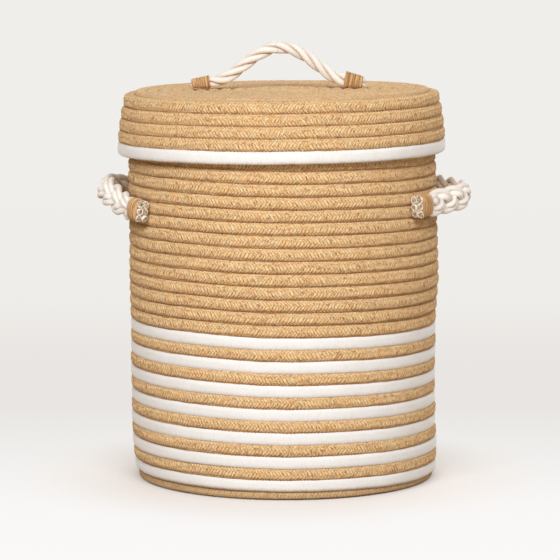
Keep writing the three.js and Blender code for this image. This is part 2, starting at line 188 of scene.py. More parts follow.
def braided_rope(names, course, first, last, lying=False, lay=JUTE_LAY, start=0.0, stance=None, hand=1):
    """Braided rope along a course round the basket's axis, from the first to the last azimuth.
    course gives the middle's radius and height and the half width and half height at an azimuth.
    With several names the rope is drawn in as many equal lengths. lay holds the length and height of a yarn
    and the power of the section. start, in metres, is where the rope's pattern begins, so that no two ropes
    are alike. stance shifts the points, and hand is the way that the yarns' arrows point."""
    yarn_length, relief, fullness = lay
    draw = np.random.default_rng(round(start * 10) + 1)
    fine = np.linspace(first, last, COURSE_SAMPLES)
    middle = course(fine)[0]
    steps = np.radians(np.diff(fine)) * (middle[1:] + middle[:-1]) / 2
    travelled = np.concatenate([[0], np.cumsum(steps)])
    length = travelled[-1]
    rows = 2 * round(length / yarn_length / len(names)) * len(names) + 1
    around = COLUMNS * ACROSS
    side = np.arange(around)
    column = side // ACROSS
    yarns = np.arange(rows)[:, None] // 2, column[None, :]
    crest = (np.arange(rows)[:, None] + column[None, :]) % 2 == 1

    along = np.linspace(0, length, rows)[:, None]
    ease = np.clip(np.minimum(along, length - along) / STRAIGHT, 0, 1)
    swing = np.abs((side / ACROSS + 1) % 2 - 1)
    along = along + hand * SLANT * (0.5 - swing[None, :]) * ease
    along = along + STRAY * draw.normal(size=(rows // 2 + 1, COLUMNS))[yarns] * ease
    degrees = np.interp(along, travelled, fine)
    radius, height, half_width, half_height = course(degrees)
    rolled = ROLL * unevenness(round(start * 10) + 2, ROLL_RATE * along[:, :1], 0, 4)
    angle = side[None, :] * 2 * math.pi / around + rolled

    lift = np.where(crest, draw.uniform(*CREST_LIFT, (rows // 2 + 1, COLUMNS))[yarns], -1.0)
    lift[:, ::ACROSS] = EDGE_LIFT
    open_air = np.clip((1 - np.abs(np.sin(angle))) / TUCKED, 0, 1)
    thick = np.clip(half_height / (JUTE_ROPE / 2), 0, 1)
    raised = relief * lift * open_air * thick * ease
    across = signed_power(np.cos(angle), fullness)
    up = signed_power(np.sin(angle), fullness)
    azimuth = np.radians(JOG_END + degrees)
    if lying:
        out = radius - (half_width + raised) * up
        level = height + (half_height + raised) * across
    else:
        out = radius + (half_width + raised) * across
        level = height + (half_height + raised) * up
    points = np.stack([out * np.cos(azimuth), out * np.sin(azimuth), level], -1)
    if stance:
        points = stance(points)

    maps = braid_maps(along, rolled, start)
    share = (rows - 1) // len(names)
    pieces = []
    for i, name in enumerate(names):
        own = {key: places[i * share:(i + 1) * share] for key, places in maps.items()}
        own["OFBake"] = strip_map(share, around, BRAID_ASPECT)
        rings = slice(i * share, (i + 1) * share + 1)
        pieces.append(tube_mesh(name, points[rings], own, ~crest[rings]))
    return pieces


class Signal:
    """One output of a shader node. Arithmetic on it adds Math nodes."""

    def __init__(self, tree, socket=None):
        self.tree = tree
        self.socket = socket

    def node(self, kind, settings=None, inputs=None, output=0):
        """Adds a node with its settings, then its sockets' values or links, and gives one output."""
        made = self.tree.nodes.new(kind)
        for key, value in (settings or {}).items():
            if key == "stops":
                while len(made.color_ramp.elements) < len(value):
                    made.color_ramp.elements.new(0.5)
                for stop, (place, colour) in zip(made.color_ramp.elements, value):
                    stop.position = place
                    stop.color = colour
            else:
                setattr(made, key, value)
        for key, value in (inputs or {}).items():
            if isinstance(value, Signal):
                self.tree.links.new(value.socket, made.inputs[key])
            else:
                made.inputs[key].default_value = value
        return Signal(self.tree, made.outputs[output])

    def other(self, output):
        """Another output of the same node."""
        return Signal(self.tree, self.socket.node.outputs[output])

    def math(self, operation, *values):
        return self.node("ShaderNodeMath", {"operation": operation}, dict(enumerate(values)))

    def mix(self, low, high):
        """Colour between low and high, with this signal as the share of high."""
        kind = {"data_type": "RGBA", "clamp_factor": True}
        return self.node("ShaderNodeMix", kind, {0: self, 6: low, 7: high}, 2)

    def towards(self, colour, share):
        """This colour with an even share of another."""
        return self.node("ShaderNodeMix", {"data_type": "RGBA"}, {0: share, 6: self, 7: colour}, 2)

    def ramp(self, low, high):
        """0 below low, 1 above high and a soft rise between."""
        kind = {"interpolation_type": "SMOOTHSTEP"}
        return self.node("ShaderNodeMapRange", kind, {0: self, 1: low, 2: high})

    def absolute(self):
        return self.math("ABSOLUTE", self)

    def fraction(self):
        return self.math("FRACT", self)

    def whole(self):
        return self.math("FLOOR", self)

    def power(self, exponent):
        return self.math("POWER", self, exponent)

    def __add__(self, other):
        return self.math("ADD", self, other)

    def __sub__(self, other):
        return self.math("SUBTRACT", self, other)

    def __rsub__(self, other):
        return self.math("SUBTRACT", other, self)

    def __mul__(self, other):
        return self.math("MULTIPLY", self, other)

    def __truediv__(self, other):
        return self.math("DIVIDE", self, other)

    __radd__ = __add__
    __rmul__ = __mul__


def tone(red, green, blue):
    """A colour as seen on a screen, 0 to 255, as a shader colour."""
    def linear(c):
        c /= 255
        return c / 12.92 if c <= 0.04045 else ((c + 0.055) / 1.055) ** 2.4
    return (linear(red), linear(green), linear(blue), 1)


def new_material(name):
    """A new material, its shader and a signal to start its nodes from."""
    material = bpy.data.materials.new(name)
    material.use_nodes = True
    tree = material.node_tree
    return material, tree.nodes["Principled BSDF"], Signal(tree)


def finish_fibre(shader, colour, rough, rise, relief, fuzz, gloss):
    """Links the colour, roughness and relief of a fibrous surface to its shader. relief is how strong and
    how deep it is, and fuzz how much the loose fibres catch the light, and their colour."""
    strength, depth = relief
    weight, tint = fuzz
    bump = rise.node("ShaderNodeBump", None, {"Strength": strength, "Distance": depth, "Height": rise})
    for socket, signal in (("Base Color", colour), ("Roughness", rough), ("Normal", bump)):
        rise.tree.links.new(signal.socket, shader.inputs[socket])
    for socket, value in (("Sheen Weight", weight), ("Sheen Tint", tint), ("Specular IOR Level", gloss)):
        shader.inputs[socket].default_value = value


def pair(start, name):
    """The two places of a UV map as signals."""
    uv = start.node("ShaderNodeUVMap", {"uv_map": name})
    first = start.node("ShaderNodeSeparateXYZ", None, {0: uv})
    return first, first.other(1)


def spread(x, y, detail, z=0.0):
    """Noise from 0 to 1 over two signals. Another z gives another pattern."""
    place = x.node("ShaderNodeCombineXYZ", None, {0: x, 1: y, 2: z})
    return x.node("ShaderNodeTexNoise", None, {"Vector": place, "Scale": 1.0, "Detail": detail})


def under_side(arc, full, none):
    """1 on the lower part of an upright turn that shows, fading out between two places towards its middle.
    The painted shade of an underside goes there.
    """
    place = arc.fraction()
    return (1 - place.ramp(full, none)) * place.ramp(0.5, 0.52)


def in_seam(arc):
    """1 in the seams above and below an upright turn, where painted seam shade goes."""
    return 1 - ((arc * 2).fraction() - 0.5).absolute().ramp(0.03, 0.15)


DARK_YARN = tone(254, 206, 142)
PALE_YARN = tone(255, 231, 183)
PALE_HAIR = tone(255, 229, 183)
RED_PATCH = tone(240, 190, 146)
# painted shade on the underside of an upright jute turn
JUTE_UNDERSIDE_SHADE = tone(168, 114, 62)
# painted shade in the gaps between the yarns
YARN_GAP_SHADE = tone(126, 70, 26)
# painted contact shadow where a standing coil meets the ground
GROUND_SHADOW = tone(84, 50, 24)
# painted shade in the seams between turns
SEAM_SHADE = tone(72, 40, 14)
BARK = tone(120, 70, 28)
DARK_GRAIN = tone(124, 70, 26)
# dull tone over flat coils, partly dusty and partly painted shade that darkens their tops
DUST_AND_SHADE = tone(176, 148, 116)
JUTE_FUZZ = (0.3, tone(255, 224, 184))
FLAT_CALM = 0.8  # share of the marks that a flat coil keeps


def jute_material(name, upright=True, standing=False, dust_and_shade=0.0):
    """Golden jute yarn with fibres along it, brown painted shade in the gaps between the yarns, deeper where
    they dive under their neighbours, flecks of bark and painted shade in the seams. An upright turn has
    painted shade on its underside. A standing one has a painted contact shadow on the ground in place of its
    seams. The last argument is the share of a dull tone over it all, partly dusty and partly painted shade."""
    material, shader, start = new_material(name)
    calm = 1.0 if upright else FLAT_CALM
    number, place = pair(start, "Yarn")
    far, arc = pair(start, "Rope")
    own = start.node("ShaderNodeCombineXYZ", None, {0: number.whole(), 1: place.whole()})
    shade = start.node("ShaderNodeTexWhiteNoise", {"noise_dimensions": "2D"}, {"Vector": own})
    aside = (number.fraction() * 2 - 1).absolute()
    crown = 1 - aside.power(1.6)
    split = 1 - aside.ramp(0.05, 0.35)
    dive = (place.fraction() * 2 - 1).absolute().power(2.5)
    fibre = spread(number * 7, place * 0.9, 3)
    patch = spread(far * 60, arc * 3, 2)
    # noise that breaks up the painted shade on the underside and in the seams
    shade_patches = spread(far * 110, arc * 5, 2, 8.3)
    bark = spread(number * 3.8, place * 1.6, 2, 3.7)
    hair = spread(number * 3.8, place * 1.6, 2, 6.1)
    grain = spread(far * 750, arc * 36, 1, 9.9)
    blush = spread(far * 45, arc * 2.5, 2, 12.7)
    light = shade * 0.35 + fibre * 0.5 + patch * 0.25
    colour = light.ramp(0.25, 0.85).mix(DARK_YARN, PALE_YARN)
    colour = (blush.ramp(0.5, 0.7) * 0.3).mix(colour, RED_PATCH)
    colour = (hair.ramp(0.5, 0.6) * 0.75 * calm).mix(colour, PALE_HAIR)
    # painted shade in the gaps between the yarns, deeper where a yarn dives under the next column
    gap = ((1 - crown) * (0.42 + 0.38 * dive) + 0.2 * split * fibre.ramp(0.35, 0.65)) * calm
    if upright:
        # painted shade on the lower part of an upright turn, and deeper painted shade in its yarn gaps there
        low = under_side(arc, 0.88, 1.0)
        colour = (low * (0.15 + 0.4 * shade_patches.ramp(0.3, 0.7))).mix(colour, JUTE_UNDERSIDE_SHADE)
        gap = gap * (1 + low)
    colour = gap.mix(colour, YARN_GAP_SHADE)
    if standing:
        # painted contact shadow on the lower side of a standing coil
        ground = 1 - (arc.fraction() - 0.5).absolute().ramp(0.1, 0.2)
        colour = (ground * 0.9).mix(colour, GROUND_SHADOW)
    else:
        # painted shade in the seams, broken up where the yarn gaps and the noise are dark
        seam = in_seam(arc) * (0.1 + 0.9 * gap.ramp(0.15, 0.6) * shade_patches.ramp(0.25, 0.6))
        colour = seam.mix(colour, SEAM_SHADE)
    colour = (bark.ramp(0.55, 0.65) * 0.75 * calm).mix(colour, BARK)
    colour = (grain.ramp(0.5, 0.66) * 0.36 * calm).mix(colour, DARK_GRAIN)
    # a dull tone over it all, partly dusty and partly painted shade
    if dust_and_shade:
        colour = colour.towards(DUST_AND_SHADE, dust_and_shade)
    rough = 0.98 - 0.14 * crown * fibre
    rise = crown * 0.9 - dive * 0.2 + fibre * 0.4
    finish_fibre(shader, colour, rough, rise, (0.7, 0.8 * MM), JUTE_FUZZ, 0.2)
    return material


def surface(piece, material):
    """Smooth faces and one material."""
    piece.data.materials.append(material)
    piece.data.polygons.foreach_set("use_smooth", np.ones(len(piece.data.polygons), bool))


def dress(piece, material, body, slot, *nodes):
    """A piece's surface, the body that it rides on and the nodes that it stands for."""
    surface(piece, material)
    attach(piece, body)
    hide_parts(*nodes)


def flat_course(bottom, edge, turns, pressed=0.0):
    """Course of a flat spiral out to a round edge, whose outer end is thinned.
    The outermost turn may be pressed out from under the wall, and its end then lies on the ground."""
    pitch = (edge - EYE_RADIUS) / turns
    half = (pitch - FLAT_SEAM) / 2

    def course(degrees):
        middle = EYE_RADIUS + jogged(degrees) * pitch
        outer = np.minimum(middle + half, edge + half)
        half_width = (outer - middle + half) / 2
        half_height = JUTE_ROPE / 2 * half_width / half
        out = pressed * np.clip(jogged(degrees) - turns + 1, 0, 1)
        level = bottom + half_height + (JUTE_ROPE / 2 - half_height) * (out == 0)
        return outer - half_width + out, level, half_width, half_height

    return course


def floor_stance(points):
    """The floor's points where it lies."""
    return points + FLOOR_ASIDE


floor_jute = jute_material("floor_jute_braid", upright=False, standing=True, dust_and_shade=0.4)
floor_course = flat_course(0, FLOOR_EDGE, FLOOR_TURNS, PRESSED)
floor_names = [f"base_coil_length_{i + 1}" for i in range(FLAT_LENGTHS)]
floor_ends = (0, (FLOOR_TURNS + 1) * 360 - TAIL)
for length in braided_rope(floor_names, floor_course, *floor_ends, lying=True, stance=floor_stance):
    dress(length, floor_jute, "basket", "jute_rope", "base_coil")

# Striped lower wall
# Seven single turns of white cotton rope with six of jute between them, counted from the floor up.
# Each turn's ends butt at the back, and the thread of the seams shows as small stitches.
COTTON_ROPE = 13.1 * MM
COTTON_LAY = (3.2 * MM, 0.1 * MM, 0.62)
SEAM = 0.5 * MM  # gap between two upright turns
STRIPES = 7
STRIPE_LIFT = 11 * MM  # height at which the stripes begin
BACK = 90 - JOG_END  # degrees from the start of a coil's level stretch to the back
BUTT = 0.1  # degrees from the back to a turn's end
TURN_ENDS = (BACK + BUTT, BACK + 360 - BUTT)
SETTLED = 1.1 * MM  # how far a turn is pressed into each seam
SLIM_SETTLED = 0.3  # share of a slimmer rope's lack of thickness by which it is pressed in further
LOW_SLIMMER = 1.3 * MM  # how much slimmer the lowest white turn is pressed
STITCH = 4.6 * MM  # from stitch to stitch in a seam
STITCH_LINE = 0.335  # place of the stitches on a turn, as a share of the way round from its inner side
WALL_TOP = 465.7 * MM  # height of the rim
BELLY_RADIUS = 189.3 * MM  # outer radius of the wall at its widest
BELLY_HEIGHT = 290 * MM  # height from which it is that wide
FOOT_DRAW = 2 * MM  # how far the foot is drawn in
RIM_START = 340 * MM  # height from which the wall is drawn in again
RIM_DRAW = 8.5 * MM  # how far the rim is drawn in
LID_REACH = 405 * MM  # height from which the lid covers the wall
LID_FADE = 15 * MM  # height below it over which the turns calm down
UNDER_LID = 0.15  # share of their wander that they keep there
# How the soft wall stands: heights in millimetres, each with the turns' spread upwards, their slope down to
# the right in degrees, their bulge and the way that the wall stands to the right.
SPREAD_UP = ((196, 0), (395, 3), (466, 0))
SLOPE = ((0, 0.2), (20, 0.7), (180, 1.1), (240, 0.8), (400, 0.7), (466, 0))
BULGE = ((17, -0.6), (45, 0.9), (110, -0.3), (190, -0.2), (250, 2.3), (330, 0.3), (395, 1.2), (405, 0))
TO_RIGHT = ((0, 3.7), (20, 3.2), (45, 1.7), (90, 0.6), (200, 0.5), (250, 1.3), (310, 0.5), (395, -0.5))


def wall_radius(height):
    """Outer radius of the wall: drawn in at the foot and again towards the rim."""
    below = np.maximum(0, 1 - height / BELLY_HEIGHT)
    above = np.maximum(0, height - RIM_START) / (WALL_TOP - RIM_START)
    return BELLY_RADIUS - FOOT_DRAW * below ** 2 - RIM_DRAW * above ** 2


def over_height(height, places):
    """A value that is given at a few heights in millimetres and runs straight between them."""
    heights, values = zip(*places)
    return np.interp(height / MM, heights, values)


def wander(azimuth, height, slow, seeds):
    """How far a turn wanders up and down, in millimetres, with its neighbours and by itself."""
    together = unevenness(seeds[0], azimuth, height * 0.12, 7)
    alone = unevenness(seeds[1], azimuth * 9, height, 5)
    return slow * together + 0.22 * alone


def sag(azimuth, height):
    """How far the wall's turns lie above or below their even places."""
    slope = np.radians(over_height(height, SLOPE))
    fall = np.tan(slope) * BELLY_RADIUS / MM * np.cos(np.radians(azimuth))
    return MM * (wander(azimuth, height, 0.55, (11, 15)) + over_height(height, SPREAD_UP) - fall)


def lean(azimuth, height, seed):
    """How far a turn stands out of the wall or back from it: the soft wall bulges above the stripes, and
    its foot stands a little to the right."""
    free = np.clip((LID_REACH - height) / LID_FADE, UNDER_LID, 1)
    own = 0.6 * unevenness(12, azimuth, height, 5) + 0.35 * unevenness(seed, azimuth, height, 9)
    aside = over_height(height, TO_RIGHT) * np.cos(np.radians(azimuth))
    return MM * (free * own + over_height(height, BULGE) + aside)


def level_course(bottom, rope, outer, seed, rising=sag, leaning=lean):
    """Course of one level turn, with its own ways to wander up and out."""
    def course(degrees):
        azimuth = JOG_END + degrees
        middle = bottom + rope / 2
        radius = outer - rope / 2 + leaning(azimuth, middle, seed)
        height = middle + rising(azimuth, middle)
        settled = SETTLED + SLIM_SETTLED * (JUTE_ROPE - rope)
        return radius, height, rope / 2 + 0 * degrees, rope / 2 + settled + 0 * degrees

    return course


COTTON_DULL = tone(240, 242, 243)
COTTON_WHITE = tone(246, 248, 250)
COTTON_SHADE = tone(192, 166, 136)
STITCH_HOLE = tone(140, 116, 90)
# painted shade in the seams of a white turn
COTTON_SEAM_SHADE = tone(150, 128, 104)
COTTON_FUZZ = (0.8, tone(255, 255, 255))


def cotton_material(name, underside_shade, reach):
    """Bleached cotton: near white, with faint slanting yarns below, painted shade in the hollow between them,
    a grey underside of painted shade, painted shade in the seams and the small dark holes of the seams'
    stitches near both edges. Its first number is how strongly painted shade greys the underside, and reach
    where on the way round it fades out."""
    material, shader, start = new_material(name)
    number, place = pair(start, "Yarn")
    far, arc = pair(start, "Rope")
    # painted shade in the hollow between the yarns, stronger on the underside
    hollow = (number.fraction() * 2 - 1).absolute().power(2)
    fibre = spread(number * 6, place * 1.1, 3)
    patch = spread(far * 25, arc * 2, 2)
    fleck = spread(far * 320, arc * 14, 2, 5.2)
    # painted shade on the underside, with the flecks and the yarn hollow darker there
    low = under_side(arc, 0.79, reach)
    lower_shade = under_side(arc, 0.84, 1.0)
    shaded = low * underside_shade + hollow * (0.06 + 0.3 * lower_shade)
    shaded = shaded + fleck.ramp(0.5, 0.65) * (0.06 + 0.25 * lower_shade)
    colour = patch.ramp(0.3, 0.7).mix(COTTON_DULL, COTTON_WHITE)
    colour = shaded.mix(colour, COTTON_SHADE)
    stitch = far / STITCH
    along = (stitch.fraction() - 0.5).absolute()
    from_line = ((arc - 0.5).absolute() - STITCH_LINE).absolute()
    kept = spread(stitch.whole() * 3.1, arc.ramp(0.49, 0.51) * 7.7, 0)
    dot = (1 - along.ramp(0.1, 0.22)) * (1 - from_line.ramp(0.015, 0.04)) * kept.ramp(0.42, 0.55)
    colour = (dot * 0.6).mix(colour, STITCH_HOLE)
    # painted shade in the seams above and below the turn
    colour = (in_seam(arc) * 0.5).mix(colour, COTTON_SEAM_SHADE)
    rough = 0.8 + 0.15 * fibre
    rise = fibre * 0.35 - hollow * 0.5 - dot
    finish_fibre(shader, colour, rough, rise, (0.35, 0.4 * MM), COTTON_FUZZ, 0.25)
    return material


jute = jute_material("jute_braid")
cotton = cotton_material("white_cotton_braid", 0.12, 0.9)
# the lowest white turn gets full painted shade on its underside
low_cotton = cotton_material("lowest_white_cotton_braid", 1.0, 1.0)
level = STRIPE_LIFT
for i in range(1, STRIPES + 1):
    outer = wall_radius(level + COTTON_ROPE / 2)
    slimmer = LOW_SLIMMER if i == 1 else 0
    course = level_course(level + slimmer, COTTON_ROPE - slimmer, outer, 20 + i)
    turn = braided_rope([f"white_turn_{i}"], course, *TURN_ENDS, lay=COTTON_LAY, start=2.1 * i)[0]
    dress(turn, low_cotton if i == 1 else cotton, "basket", "cotton_rope", f"white_turn_{i}")
    level += COTTON_ROPE + SEAM
    if i < STRIPES:
        outer = wall_radius(level + JUTE_ROPE / 2)
        course = level_course(level, JUTE_ROPE, outer, 40 + i)
        turn = braided_rope([f"jute_turn_{i}"], course, *TURN_ENDS, start=20 + 2.3 * i)[0]
        dress(turn, jute, "basket", "jute_rope", f"jute_turn_{i}")
        level += JUTE_ROPE + SEAM

# Plain upper wall
# One jute rope wound eighteen times on the top stripe, each turn stepping over to the next at the back.
# It is drawn in six lengths of three turns, which meet end to end.
WALL_TURNS = 18
WALL_LENGTHS = 6


def upright_course(bottom, turns, outer_radius, seed, rising=sag, leaning=lean):
    """Course of an upright coil whose two ends are thinned so that its edges are level."""
    pitch = JUTE_ROPE + SEAM
    top = bottom + turns * pitch - SEAM

    def course(degrees):
        azimuth = JOG_END + degrees
        low = bottom + jogged(degrees) * pitch
        under = np.maximum(low, bottom)
        over = np.minimum(low + JUTE_ROPE, top)
        middle = np.clip(low, bottom, top - JUTE_ROPE) + JUTE_ROPE / 2
        half = (over - under) / 2
        radius = outer_radius(middle) - JUTE_ROPE / 2 + leaning(azimuth, middle, seed)
        return radius, (under + over) / 2 + rising(azimuth, middle), half, half + SETTLED

    return course


wall_course = upright_course(level, WALL_TURNS, wall_radius, 60)
wall_names = [f"wall_coil_length_{i + 1}" for i in range(WALL_LENGTHS)]
for length in braided_rope(wall_names, wall_course, -JOG + TAIL, WALL_TURNS * 360 - TAIL, start=40):
    dress(length, jute, "basket", "jute_rope", "wall_coil")

# Lid
# A flat jute spiral, a skirt of four jute turns that follows the rim's taper, and one white turn
# at the skirt's edge. It slips over the rim, sits a little askew and lifts off.
LID_UNDERSIDE = WALL_TOP + 0.4 * MM
LID_TOP = LID_UNDERSIDE + JUTE_ROPE
LID_EDGE = 174.5 * MM  # from the axis to the middle of the lid's outermost ring
LID_RINGS = 11
SKIRT_TURNS = 4
SKIRT_BOTTOM = 418.6 * MM
LID_CLEARANCE = 1 * MM  # between the wall and the skirt
RIM_FLARE = 1.2 * MM  # how far the white turn stands out over the skirt's line
LID_SLOPE = 0.6  # degrees that the lid's right side stands high
LID_ASIDE = -1.6 * MM  # how far the lid sits to the right
# Heights in millimetres, each with how far the lid's turns have sunk there and are drawn in.
LID_SUNK = ((412, -0.7), (426, -1), (441, -1.7), (456, -2.2), (471, -2.5))
LID_DRAWN = ((441, 0), (456, -0.5), (471, -1.5))


def seated(points):
    """The lid's points as it sits on the rim."""
    rise = math.tan(math.radians(LID_SLOPE)) * points[..., :1]
    return points + np.concatenate([0 * rise + LID_ASIDE, 0 * rise, rise], -1)


def lid_sag(azimuth, height):
    """How far the lid's turns lie above or below their even places. The upper ones have sunk a little."""
    return MM * (wander(azimuth, height, 0.5, (13, 16)) + over_height(height, LID_SUNK))


def lid_lean(azimuth, height, seed):
    """How far a turn of the lid stands out or back."""
    own = 0.35 * (unevenness(14, azimuth, height, 5) + unevenness(seed, azimuth, height, 9))
    return MM * (own + over_height(height, LID_DRAWN))


def skirt_radius(height):
    """Outer radius of the skirt, clear of the wall."""
    return wall_radius(height) + LID_CLEARANCE + JUTE_ROPE


flat_jute = jute_material("flat_jute_braid", upright=False, dust_and_shade=0.3)
lid_course = flat_course(LID_UNDERSIDE, LID_EDGE, LID_RINGS)
lid_ends = (0, (LID_RINGS + 1) * 360 - TAIL)
lid_names = [f"lid_top_coil_length_{i + 1}" for i in range(FLAT_LENGTHS)]
for length in braided_rope(lid_names, lid_course, *lid_ends, lying=True, start=70, stance=seated, hand=-1):
    dress(length, flat_jute, "lid", "jute_rope", "lid_top_coil")

skirt_course = upright_course(SKIRT_BOTTOM, SKIRT_TURNS, skirt_radius, 80, lid_sag, lid_lean)
skirt_ends = (-JOG + TAIL, SKIRT_TURNS * 360 - TAIL)
skirt = braided_rope(["lid_skirt_coil"], skirt_course, *skirt_ends, start=80, stance=seated, hand=-1)[0]
dress(skirt, jute, "lid", "jute_rope", "lid_skirt_coil")

rim_bottom = SKIRT_BOTTOM - COTTON_ROPE - SEAM
rim_outer = wall_radius(rim_bottom + COTTON_ROPE / 2) + LID_CLEARANCE + RIM_FLARE + COTTON_ROPE
rim_course = level_course(rim_bottom, COTTON_ROPE, rim_outer, 90, lid_sag, lid_lean)
rim = braided_rope(["lid_rim_turn"], rim_course, *TURN_ENDS, lay=COTTON_LAY, start=90, stance=seated)[0]
dress(rim, cotton, "lid", "cotton_rope", "lid_rim_turn")

# Side handles
# Each is a flat plait of six soft cotton cords, worked in three pairs. Its two ends lie along the wall and
# are bound with jute twine, and the cut cords show beyond it. The grip bends near its sewn feet.
HINGE_RADIUS = 194.4 * MM  # from the basket's axis to the line of a grip's two ends
HALF_SPAN = 59.2 * MM  # half the distance between a grip's two ends
GRIP_CROWN = -0.44  # how much fuller the grip's arc is towards its ends, below 0 for a slimmer one
GRIP_SOFT = 7 * MM  # length over which the grip's line turns into its feet
GRIP_TURN = 20 * MM  # distance from the hinge line at which the plait has taken the grip's tilt
GRIP_FREE = 70 * MM  # distance from a cut end to the place where the plait's free stretch begins
FOOT_AZIMUTH = 28  # degrees that a sewn foot turns in along the wall
SHANK = 28 * MM  # sewn stretch between the twine and the grip
BOUND = 25 * MM  # length of the twine
CUT = 1.6 * MM  # cut cords beyond the twine
# Each handle as it hangs: its side, the middle's height, the rear end's rise, the turn about the basket's
# axis, the grip's tilt and reach, and the way that the plait's arrows point. Angles are in degrees.
SIDE_HANDLES = {
    "left_handle": (-1, 347 * MM, 4.4, 0, 27, 27.5 * MM, 1),
    "right_handle": (1, 350.4 * MM, 2.7, -4.4, 2, 29.5 * MM, -1),
}

PLAIT_PITCH = 84 * MM  # length of plait in which a pair of cords swings across and back
PLAIT_PHASE = 0.4  # radians by which the pattern is ahead at the middle of the grip
CORD = 7.4 * MM  # thickness of a cord
CORD_SIDES = 14
CORD_FLAT = 0.03  # share by which a cord is flatter and wider than round
SWAY = 9.6 * MM  # how far a pair of cords swings out to each edge of the plait
WEAVE = 4.5 * MM  # how far it passes over and under
PAIR = 3.2 * MM  # half the distance between the two cords of a pair
STACK = 1.8 * MM  # how far the outer cord of a pair lies below the inner one
GATHER = (12 * MM, 2 * MM)  # stretch before the twine over which the cords come together
ROW = 7.6 * MM  # from row to row of the cords under the twine, which lie in three rows
COLUMN = 3.1 * MM  # from their middle to each of their two columns
SPLAY = 1.12  # how far the cords spread again where they are cut
SPLAY_LENGTH = 2 * MM  # stretch under the twine over which they do
CUT_STRAY = 0.5 * MM  # how far a cut cord lies from its even place
CUT_AHEAD = (-1.6, 0.4)  # least and most distance in millimetres that it ends beyond it
CUT_SWELL = (1.06, 1.2)  # how much thicker it is there
CUT_LUMPS = (0.16, 0.11)  # how far its outline is out of round, in two and in three waves
CUT_SLANT = 0.16  # how far the cut is out of square
CUT_ROUGH = 0.35 * MM  # how far the loose fibre of the cut is out of level
# Rings that close a cut cord: their distance ahead, share of the section and place in the core.
CORD_CUT = ((0.5 * MM, 1.0, 0.02), (0.8 * MM, 0.96, 0.15), (0.8 * MM, 0.86, 0.45), (0.4 * MM, 0.7, 0.8),
            (0.3 * MM, 0.4, 1), (0.5 * MM, 0.12, 1))
PLUG = (COLUMN + 2.6 * MM, ROW + 2.8 * MM)  # half sizes of the loose fibre among the cut cords
PLUG_RINGS = 6
PLUG_DEEP = 6 * MM  # how far it goes in under the twine
PLUG_SHORT = 0.4 * MM  # how far it ends before the cords do
PLAIT_BANDS = 8  # bands of the flat layout for the cords and the loose fibre of a plait
FRAY = (3 * MM, 3)  # length of the loose fibres on a cut cord, and the number of their bundles
TUFT = (6 * MM, 9)  # the same for the tuft over the highest cut cord
TUFT_RISE = 3 * MM  # from that cord's middle to the tuft
FIBRE = 0.5 * MM  # thickness of a bundle of loose fibres
FIBRE_SPREAD = 2.2 * MM  # how far it stands from the middle of its cord
SPIKE = ((0, 1, 3), (1, 2, 3), (2, 0, 3), (2, 1, 0))  # faces of a bundle, three at its sides and its root
WHIPPING = (12.3 * MM, 8.1 * MM)  # half width and half height of the bound foot, to the middle of the twine
BARREL = 0.8 * MM  # how much it swells at the middle
TWINE = 2.2 * MM
TWINE_STEP = 0.98  # distance from wrap to wrap, as a share of the twine
TWINE_TWIST = 2.6 * MM  # length of twine that one twist takes up
TWINE_SIDES = 7
TWINE_WIDE = 1.06  # how much wider than high the twine is pressed
TWINE_WOBBLE = 0.25 * MM  # how far a wrap lies from its even place
TWINE_TUCK = 0.3  # wraps at each end over which the twine goes in under the others
WRAP_MARGIN = 0.02  # share of the bound length that stays free at each end
WRAP_RINGS = 44
WRAP_POWERS = (0.75, 0.85)  # how square a wrap is, across the foot and out from it
STEP = 1.6 * MM  # distance between rings along a cord


def unit(vectors):
    """The vectors, each made 1 long."""
    return vectors / np.linalg.norm(vectors, axis=-1, keepdims=True)


def way_along(points):
    """How far each point of a line is from its first."""
    return np.concatenate([[0], np.cumsum(np.linalg.norm(np.diff(points, axis=0), axis=1))])


def even_line(points, soft):
    """Points about a millimetre apart along a line, its corners rounded over a soft length."""
    travelled = way_along(points)
    places = np.linspace(0, travelled[-1], round(travelled[-1] / MM) + 1)
    even = np.stack([np.interp(places, travelled, points[:, k]) for k in range(3)], -1)
    reach = round(3 * soft / MM)
    weights = np.exp(-0.5 * (np.arange(-reach, reach + 1) * MM / soft) ** 2)
    before = even[0] + (even[0] - even[1]) * np.arange(reach, 0, -1)[:, None]
    after = even[-1] + (even[-1] - even[-2]) * np.arange(1, reach + 1)[:, None]
    padded = np.concatenate([before, even, after])
    smooth = [np.convolve(padded[:, k], weights / weights.sum(), "valid") for k in range(3)]
    return np.stack(smooth, -1)


class Line:
    """A smooth line with an across and an outward direction at every place along it.
    Places are measured from the line's middle."""

    def __init__(self, points, across, outward):
        self.points = points
        self.places = way_along(points)
        self.places -= self.places[-1] / 2
        along = unit(np.gradient(points, axis=0))
        self.across = unit(across - np.sum(across * along, -1, keepdims=True) * along)
        self.out = np.cross(along, self.across)
        self.out *= np.sign(np.sum(self.out * outward, -1, keepdims=True))

    def at(self, places, table):
        """Rows of a table at places along the line."""
        return np.stack([np.interp(places, self.places, table[:, k]) for k in range(3)], -1)

    def facing(self, places, across, out):
        """Directions with a share across and a share outward."""
        return self.at(places, self.across) * across[:, None] + self.at(places, self.out) * out[:, None]

    def beside(self, places, across, out):
        """Points beside the line."""
        return self.at(places, self.points) + self.facing(places, across, out)


